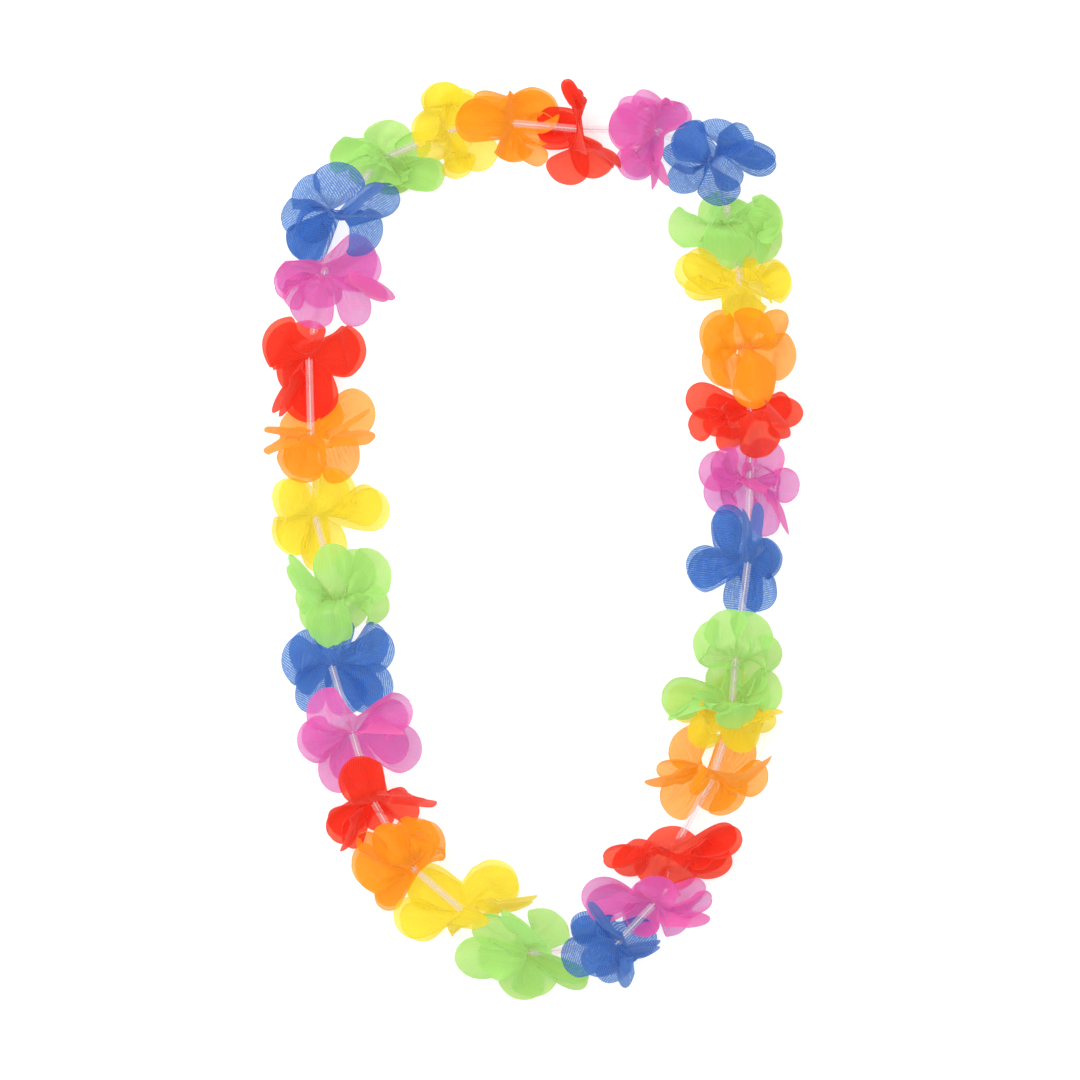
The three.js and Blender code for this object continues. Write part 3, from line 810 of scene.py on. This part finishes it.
# a petal by itself, as it is bent from the hub to its tip
def freePetal(hub, petal, offset, slack):
    rng = random.Random(petal["seed"])
    along = petalRows()[:, None]
    across = np.linspace(-1, 1, petalCut["columns"] + 1)[None, :]
    fullness = petal["width"] / petalCut["width"]
    openness = 1.0 if petal["rolled"] else min(1.0, (fullness / petalCut["pointed"]) ** 2)
    sharp = petalCut["sharpTip"]
    blunt = sharp + (rng.uniform(*petalCut["bluntTip"]) - sharp) * openness
    lean = petalCut["sideLean"]
    shares = [sideShare(along, petalCut["widest"] + rng.uniform(-lean, lean), blunt) for _ in range(2)]
    share = np.where(across < 0, shares[0], shares[1])
    share = share * (1 + petalCut["edgeWave"] * np.sin(9 * along + rng.uniform(0, 6)) * along)
    angle = petalAngle(hub, petal)
    middle = hub["centre"] + hub["forward"] * offset
    out = hub["side"] * math.cos(angle) + up * math.sin(angle)
    root = middle + petalCut["rootRadius"] * out
    right = np.cross(petal["heading"], up)
    rim = -math.sin(angle) * hub["side"] + math.cos(angle) * up
    hand = 1.0 if rim @ right >= 0 else -1.0
    line = middleLine(hub, petal, root, out, slack)
    run = lengths(line)
    at = along[:, 0] * run[-1]
    centre = np.stack([np.interp(at, run, line[:, k]) for k in range(3)], 1)
    tangent = np.gradient(centre, at, axis=0)
    tangent = tangent / np.linalg.norm(tangent, axis=1, keepdims=True)
    normal = np.cross(right, tangent)
    sideways, rise = crossSection(petal, share, along, across, rng)
    calm = petalCut["flatCalm"] if petal["flat"] else 1.0
    lift = rise * calm * np.clip(along / 0.3, 0, 1)
    # where the cloth stands steeply, its ripples lean to the vertical
    upright = normal + up * (1 - np.abs(normal[:, 2:])) * np.where(normal[:, 2:] < 0, -1, 1)
    upright = upright / np.linalg.norm(upright, axis=1, keepdims=True)
    points = centre[:, None, :] + right * (sideways * hand)[..., None] + upright[:, None, :] * lift[..., None]
    points = withinTip(hub, petal, points)
    lowest = petalCut["rest"] + petalCut["levelStep"] * petal["level"]
    points[..., 2] = onTable(points[..., 2], lowest)
    onEdge = fullness < petalCut["mostCurl"] and not petal["rolled"]
    return {"points": points, "normal": normal, "share": share, "onEdge": onEdge}


# where two neighbouring petals part: half way between their sides, drawn in where those lie
# close and held to the cloth's reach
def notchPoint(middle, one, other):
    row = petalCut["rowsToNotch"] - 1
    between = (one["points"][row, -1] + other["points"][row, 0]) / 2 - middle
    half = petalCut["notchWidth"] * petalCut["width"] / 2
    reach = math.hypot(petalCut["rootRadius"] + petalCut["length"] * petalCut["notch"], half)
    share = np.linalg.norm(between) / reach
    point = middle + between * min(math.sqrt(share), 1 / share)
    point[2] = max(point[2], petalCut["rest"])
    return point


# sews a petal into its layer: its sides meet the neighbours' up to the notches
def joinPetal(hub, petal, slot, middle, notches):
    along = petalRows()[:, None]
    across = np.linspace(-1, 1, petalCut["columns"] + 1)[None, :]
    row = petalCut["rowsToNotch"] - 1
    points = petal["points"]
    shift = np.stack([notches[0] - points[row, 0], notches[1] - points[row, -1]])
    calm = petalCut["seamCalm"][int(petal["onEdge"])]
    fade = np.clip((calm - along) / (calm - petalCut["notch"]), 0, 1) ** 2
    weight = np.abs(across) ** petalCut["seamPower"]
    side = np.where((across < 0)[..., None], shift[0], shift[1])
    points = points + side * (fade * weight)[..., None]
    turns = slot[0] + (slot[1] - slot[0]) * (across[0] + 1) / 2
    spokes = np.cos(turns)[:, None] * hub["side"] + np.sin(turns)[:, None] * up
    base = middle + petalCut["rootRadius"] * spokes
    rise = np.clip(along / petalCut["notch"], 0, 1)[..., None]
    straight = base * (1 - rise) + points[row] * rise
    bowed = points + (base - points[0]) * (1 - rise) ** 2
    sewn = straight * weight[..., None] + bowed * (1 - weight)[..., None]
    points = np.where(rise < 1, sewn, points)
    ends = np.sin(np.pi * np.clip(along / petalCut["pleatEnd"], 0, 1))
    pleat = np.cos(np.pi * petalCut["pleats"] * across) * ends
    pleat = pleat * (1 - across ** 6) * petalCut["pleatDepth"]
    points = points + petal["normal"][:, None, :] * pleat[..., None]
    points[..., 2] = underTop(onTable(points[..., 2], petalCut["rest"]))
    return points


# gives a sheet its thickness and makes it a plain mesh
def clothPiece(name, meshFrom, material):
    draft = bpy.data.objects.new(name + "_draft", meshFrom)
    scene.collection.objects.link(draft)
    thick = draft.modifiers.new("thickness", "SOLIDIFY")
    thick.thickness = petalCut["thickness"]
    thick.offset = 0.0
    depsgraph = bpy.context.evaluated_depsgraph_get()
    mesh = bpy.data.meshes.new_from_object(draft.evaluated_get(depsgraph))
    bpy.data.objects.remove(draft)
    mesh.name = name
    mesh.materials.clear()
    mesh.materials.append(material)
    mesh.shade_smooth()
    mesh.set_sharp_from_angle(angle=math.radians(60))
    piece = bpy.data.objects.new(name, mesh)
    scene.collection.objects.link(piece)
    return piece


def gridArea(points):
    across = points[:-1, 1:] - points[1:, :-1]
    along = points[1:, 1:] - points[:-1, :-1]
    return float(np.linalg.norm(np.cross(across, along), axis=-1).sum()) / 2


# the petals of a layer, as grids of points round the hub
def shapePetals(hub, petals, middle, offset, slots, slack):
    free = [freePetal(hub, petal, offset, slack) for petal in petals]
    notches = [notchPoint(middle, one, other) for one, other in zip(free, free[1:] + free[:1])]
    grids = []
    for k, petal in enumerate(free):
        grids.append(joinPetal(hub, petal, slots[k], middle, (notches[k - 1], notches[k])))
    return grids, [petal["share"] for petal in free]


# one die-cut layer: a ring round the thread and its petals, all one sheet
def flowerLayer(index, petals, layer):
    hub = hubs[index]
    offset = petalCut["layerGap"] * (0.5 - layer)
    middle = hub["centre"] + hub["forward"] * offset
    petals = sorted(petals, key=lambda p: petalAngle(hub, p))
    for k, petal in enumerate(petals):
        petal["level"] = (index * 3 + k * 2 + layer) % 7
    step = 2 * math.pi / len(petals)
    lean = [petalAngle(hub, p) - k * step for k, p in enumerate(petals)]
    first = math.atan2(sum(map(math.sin, lean)), sum(map(math.cos, lean)))
    slots = [(first + (k - 0.5) * step, first + (k + 0.5) * step) for k in range(len(petals))]
    for slack in petalCut["slacks"]:
        grids, shares = shapePetals(hub, petals, middle, offset, slots, slack)
        if sum(map(gridArea, grids)) > petalCut["areaKept"] * cutArea():
            break

    vertices, faces, seams, clothUv, bladeUv = [], [], [], [], []

    def addGrid(points, cloth, blade, sewn):
        rows, columns = points.shape[:2]
        start = len(vertices)
        vertices.extend(points.reshape(-1, 3).tolist())
        seams.extend(sewn.ravel().tolist())
        clothUv.extend(cloth.reshape(-1, 2).tolist())
        bladeUv.extend(blade.reshape(-1, 2).tolist())
        for i in range(rows - 1):
            for j in range(columns - 1):
                a = start + i * columns + j
                faces.append((a, a + 1, a + columns + 1, a + columns))

    along = petalRows()[:, None]
    across = np.linspace(-1, 1, petalCut["columns"] + 1)[None, :]
    sewn = ((along < petalCut["notch"] + 1e-6) & (np.abs(across) == 1)) | (along == 0) | (along == 1)
    blade = np.stack([across + 0 * along, along + 0 * across], -1)
    radii = np.array([petalCut["holeRadius"], 0.6 * petalCut["rootRadius"], petalCut["rootRadius"]])
    for k, (points, share, slot) in enumerate(zip(grids, shares, slots)):
        reach = petalCut["rootRadius"] + along * petalCut["length"] + 0 * across
        wide = share * across * petalCut["width"] / 2
        turn = k * step
        cloth = np.stack([reach * math.cos(turn) - wide * math.sin(turn),
                          reach * math.sin(turn) + wide * math.cos(turn)], -1)
        addGrid(points, cloth, blade, sewn)
        turns = np.linspace(*slot, petalCut["columns"] + 1)
        spokes = np.cos(turns)[:, None] * hub["side"] + np.sin(turns)[:, None] * up
        ring = middle + radii[:, None, None] * spokes[None]
        flatRing = radii[:, None, None] * np.stack([np.cos(turns), np.sin(turns)], -1)[None]
        addGrid(ring, flatRing, np.zeros(ring.shape[:2] + (2,)), np.ones(ring.shape[:2], bool))

    mesh = bpy.data.meshes.new("cut")
    mesh.from_pydata(vertices, [], faces)
    corners = np.array([v for face in faces for v in face])
    for name, values in (("cloth", clothUv), ("blade", bladeUv)):
        uv = mesh.uv_layers.new(name=name)
        uv.data.foreach_set("uv", np.array(values)[corners].astype(np.float32).ravel())
    joined = bmesh.new()
    joined.from_mesh(mesh)
    joined.verts.ensure_lookup_table()
    meeting = [joined.verts[k] for k, sewnHere in enumerate(seams) if sewnHere]
    bmesh.ops.remove_doubles(joined, verts=meeting, dist=petalCut["weld"])
    joined.to_mesh(mesh)
    joined.free()
    return mesh


# flat area of one layer, from its outline
def cutArea():
    rows = petalRows()
    sides = sideShare(rows, petalCut["widest"], sum(petalCut["bluntTip"]) / 2)
    blade = float(np.sum(np.diff(rows) * (sides[1:] + sides[:-1]) / 2))
    petals = petalCut["petals"] * blade * petalCut["length"] * petalCut["width"]
    return petals + math.pi * petalCut["rootRadius"] ** 2


def makeFlowers():
    pieces = []
    for index, (hue, *rest) in enumerate(flowers):
        rng = random.Random(100 + index)
        node = f"flower_{index + 1:02d}_{hue}"
        for layer, petals in enumerate(shareOut(index, rng)):
            mesh = flowerLayer(index, petals, layer)
            name = node + ("_front", "_back")[layer]
            piece = clothPiece(name, mesh, sheerMaterials[hue])
            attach(piece, "root")
            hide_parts(node)
            pieces.append(piece)
    return pieces


flowerPieces = makeFlowers()
print(f"{len(flowers)} flowers are cut from {len(flowerPieces)} layers of cloth")

# straws
strawCut = {
    "radius": 0.0019,
    "wall": 0.0004,
    "sides": 28,
    "rings": 10,
    "hubThickness": 0.0014,
    "restGap": 0.0003,
}


def newShapeTree(name, inputs):
    tree = bpy.data.node_groups.new(name, "GeometryNodeTree")
    tree.interface.new_socket("Geometry", in_out="INPUT", socket_type="NodeSocketGeometry")
    for label, kind, value in inputs:
        tree.interface.new_socket(label, in_out="INPUT", socket_type=kind).default_value = value
    tree.interface.new_socket("Geometry", in_out="OUTPUT", socket_type="NodeSocketGeometry")
    return tree, tree.nodes.new("NodeGroupInput"), tree.nodes.new("NodeGroupOutput")


def endShape(tree, geometry, material, output):
    real = addNode(tree, "GeometryNodeRealizeInstances", Geometry=geometry)
    paint = addNode(tree, "GeometryNodeSetMaterial", Geometry=real.outputs[0], Material=material)
    tree.links.new(paint.outputs[0], output.inputs[0])


def setInputs(modifier, **values):
    for item in modifier.node_group.interface.items_tree:
        if item.item_type == "SOCKET" and item.in_out == "INPUT" and item.name in values:
            modifier[item.identifier] = values[item.name]


def makeTubeTree():
    tree, given, output = newShapeTree("strawTube", [
        ("Start", "NodeSocketVector", (0, 0, 0)), ("End", "NodeSocketVector", (0, 0, 0.03)),
        ("Radius", "NodeSocketFloat", strawCut["radius"]), ("Sides", "NodeSocketInt", strawCut["sides"]),
        ("Rings", "NodeSocketInt", strawCut["rings"]),
    ])
    size = given.outputs
    line = addNode(tree, "GeometryNodeCurvePrimitiveLine", Start=size["Start"], End=size["End"])
    steps = addNode(tree, "GeometryNodeResampleCurve", Curve=line.outputs[0], Count=size["Rings"])
    section = addNode(tree, "GeometryNodeCurvePrimitiveCircle", Radius=size["Radius"],
                      Resolution=size["Sides"])
    tube = addNode(tree, "GeometryNodeCurveToMesh", **{
        "Curve": steps.outputs[0],
        "Profile Curve": section.outputs[0],
    })
    endShape(tree, tube.outputs[0], strawMaterial, output)
    return tree


def plainMesh(draft, name):
    depsgraph = bpy.context.evaluated_depsgraph_get()
    mesh = bpy.data.meshes.new_from_object(draft.evaluated_get(depsgraph))
    bpy.data.objects.remove(draft)
    mesh.name = name
    mesh.shade_smooth()
    mesh.set_sharp_from_angle(angle=math.radians(50))
    piece = bpy.data.objects.new(name, mesh)
    scene.collection.objects.link(piece)
    return piece


# how far from a hub's centre a straw stops, so that it clears cloth that turns
def strawReach(hub):
    face = strawCut["hubThickness"] / 2 / math.cos(hub["halfTurn"])
    return face + strawCut["radius"] * math.tan(hub["halfTurn"]) + strawCut["restGap"]


def makeStraws():
    tree = makeTubeTree()
    pieces = []
    for index, hub in enumerate(hubs):
        if index + 1 == layout["knotAfter"]:
            continue
        after = hubs[(index + 1) % len(hubs)]
        along = unit(after["centre"] - hub["centre"])
        start = hub["centre"] + along * strawReach(hub)
        end = after["centre"] - along * strawReach(after)
        name = f"straw_{index + 1:02d}"
        draft = bpy.data.objects.new(name + "_draft", bpy.data.meshes.new("draft"))
        scene.collection.objects.link(draft)
        shape = draft.modifiers.new("tube", "NODES")
        shape.node_group = tree
        setInputs(shape, Start=tuple(start), End=tuple(end), Radius=strawCut["radius"],
                  Sides=strawCut["sides"], Rings=strawCut["rings"])
        wall = draft.modifiers.new("wall", "SOLIDIFY")
        wall.thickness = strawCut["wall"]
        wall.offset = -1.0
        piece = plainMesh(draft, name + "_tube")
        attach(piece, "root")
        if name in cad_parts:
            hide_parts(name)
        pieces.append(piece)
    return pieces


strawPieces = makeStraws()
print(f"{len(strawPieces)} straws are cut")

# thread
threadSpin = {
    "ply": 0.0002,  # radius of each of the two strands
    "apart": 0.00019,  # their distance from the thread's middle
    "pitch": 0.0024,  # length of one turn of the twist
    "step": 0.00032,
    "turnRadius": 0.0022,  # where the thread turns in a flower
    "strandSides": 8,
    "turnPoints": 6,
    "knotRadius": 0.0009,
    "knotTurns": 64,
    "knotDepth": 0.6,
    "runEnd": (0.0003, 0, 0.0005),  # from the knot's middle to the end of the run
    "tail": 0.009,
    "tailSwing": 0.0016,
    "tailAside": 0.0012,
    "tailDrop": 0.0055,
}


def makeThreadTree():
    tree, given, output = newShapeTree("twistedThread", [
        ("Ply", "NodeSocketFloat", threadSpin["ply"]), ("Apart", "NodeSocketFloat", threadSpin["apart"]),
        ("Pitch", "NodeSocketFloat", threadSpin["pitch"]), ("Step", "NodeSocketFloat", threadSpin["step"]),
        ("Turn Radius", "NodeSocketFloat", threadSpin["turnRadius"]),
    ])
    size = given.outputs
    rounded = tree.nodes.new("GeometryNodeFilletCurve")
    rounded.mode = "POLY"
    wire(tree, size["Geometry"], rounded.inputs["Curve"])
    wire(tree, size["Turn Radius"], rounded.inputs["Radius"])
    wire(tree, threadSpin["turnPoints"], rounded.inputs["Count"])
    wire(tree, True, rounded.inputs["Limit Radius"])
    steps = tree.nodes.new("GeometryNodeResampleCurve")
    steps.mode = "LENGTH"
    wire(tree, rounded.outputs[0], steps.inputs["Curve"])
    wire(tree, size["Step"], steps.inputs["Length"])
    run = tree.nodes.new("GeometryNodeSplineParameter")
    angle = calc(tree, "MULTIPLY", calc(tree, "DIVIDE", run.outputs["Length"], size["Pitch"]), 2 * math.pi)
    tilt = addNode(tree, "GeometryNodeSetCurveTilt", Curve=steps.outputs[0], Tilt=angle)
    join = tree.nodes.new("GeometryNodeJoinGeometry")
    for sign in (1.0, -1.0):
        strand = addNode(tree, "GeometryNodeCurvePrimitiveCircle", Radius=size["Ply"],
                         Resolution=threadSpin["strandSides"])
        aside = addNode(tree, "ShaderNodeCombineXYZ", X=calc(tree, "MULTIPLY", size["Apart"], sign))
        move = addNode(tree, "GeometryNodeTransform", Geometry=strand.outputs[0],
                       Translation=aside.outputs[0])
        tree.links.new(move.outputs[0], join.inputs[0])
    spin = addNode(tree, "GeometryNodeCurveToMesh", **{
        "Curve": tilt.outputs[0],
        "Profile Curve": join.outputs[0],
        "Fill Caps": True,
    })
    endShape(tree, spin.outputs[0], threadMaterial, output)
    return tree


# the run round through every flower, and the knot with its two tails
def threadLines():
    after = layout["knotAfter"]
    order = hubs[after:] + hubs[:after]
    knot = (order[0]["centre"] + order[-1]["centre"]) / 2
    run = [knot] + [hub["centre"] for hub in order] + [knot + threadSpin["runEnd"]]
    size, turns = threadSpin["knotRadius"], threadSpin["knotTurns"]
    loop = []
    for k in range(turns):
        t = 2 * math.pi * k / turns
        loop.append(knot + size * np.array([
            0.5 * (math.sin(t) + 2 * math.sin(2 * t)),
            0.5 * (math.cos(t) - 2 * math.cos(2 * t)),
            -threadSpin["knotDepth"] * math.sin(3 * t),
        ]))
    tails = []
    for sign in (-1, 1):
        drop = [knot]
        for share in (0.25, 0.5, 0.75, 1.0):
            drop.append(knot + np.array([
                threadSpin["tail"] * share * 0.9,
                sign * threadSpin["tailSwing"] * math.sin(2.4 * share) + threadSpin["tailAside"] * share,
                -threadSpin["tailDrop"] * share ** 0.7,
            ]))
        tails.append(drop)
    return [run, loop + loop[:1], *tails]


def makeThread():
    data = bpy.data.curves.new("threadRoute", "CURVE")
    data.dimensions = "3D"
    for line in threadLines():
        spline = data.splines.new("POLY")
        spline.points.add(len(line) - 1)
        for point, spot in zip(spline.points, line):
            point.co = (*spot, 1)
    draft = bpy.data.objects.new("threadRoute", data)
    scene.collection.objects.link(draft)
    shape = draft.modifiers.new("twist", "NODES")
    shape.node_group = makeThreadTree()
    setInputs(shape, Ply=threadSpin["ply"], Apart=threadSpin["apart"], Pitch=threadSpin["pitch"],
              Step=threadSpin["step"], **{"Turn Radius": threadSpin["turnRadius"]})
    piece = plainMesh(draft, "twisted_thread")
    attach(piece, "root")
    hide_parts("thread")


makeThread()
print("thread is spun and tied")

# table and light
studio = {
    "tableSize": 6.0,
    "tableColour": (0.93, 0.93, 0.93, 1),
    "tableGlow": 0.18,
    "sky": 0.86,
    "keySize": 1.6,
    "keyPower": 22.0,
    "keyFrom": (-0.9, 0.8, 1.7),
    "tableRoughness": 0.9,
    "tableSpecular": 0.1,
    "white": (1, 1, 1, 1),
    "clearLayers": 64,  # see-through faces that light may pass one behind another
}


def makeTable():
    mesh = bpy.data.meshes.new("table")
    s = studio["tableSize"] / 2
    mesh.from_pydata([(-s, -s, 0), (s, -s, 0), (s, s, 0), (-s, s, 0)], [], [(0, 1, 2, 3)])
    table = bpy.data.objects.new("table", mesh)
    scene.collection.objects.link(table)
    material, tree, output = newMaterial("pale_table")
    paint = addNode(tree, "ShaderNodeBsdfPrincipled", **{
        "Base Color": studio["tableColour"],
        "Roughness": studio["tableRoughness"],
        "Specular IOR Level": studio["tableSpecular"],
        "Emission Color": studio["white"],
        "Emission Strength": studio["tableGlow"],
    })
    tree.links.new(paint.outputs[0], output.inputs["Surface"])
    mesh.materials.append(material)


def makeLight():
    world = bpy.data.worlds.new("studio")
    world.use_nodes = True
    sky = world.node_tree.nodes["Background"]
    sky.inputs["Color"].default_value = studio["white"]
    sky.inputs["Strength"].default_value = studio["sky"]
    scene.world = world
    data = bpy.data.lights.new("softbox", "AREA")
    data.shape = "SQUARE"
    data.size = studio["keySize"]
    data.energy = studio["keyPower"]
    lamp = bpy.data.objects.new("softbox", data)
    lamp.location = studio["keyFrom"]
    lamp.rotation_euler = (-Vector(studio["keyFrom"])).to_track_quat("-Z", "Y").to_euler()
    scene.collection.objects.link(lamp)
    scene.view_settings.view_transform = "Standard"
    scene.cycles.transparent_max_bounces = studio["clearLayers"]


makeTable()
makeLight()
print("table and light are set")
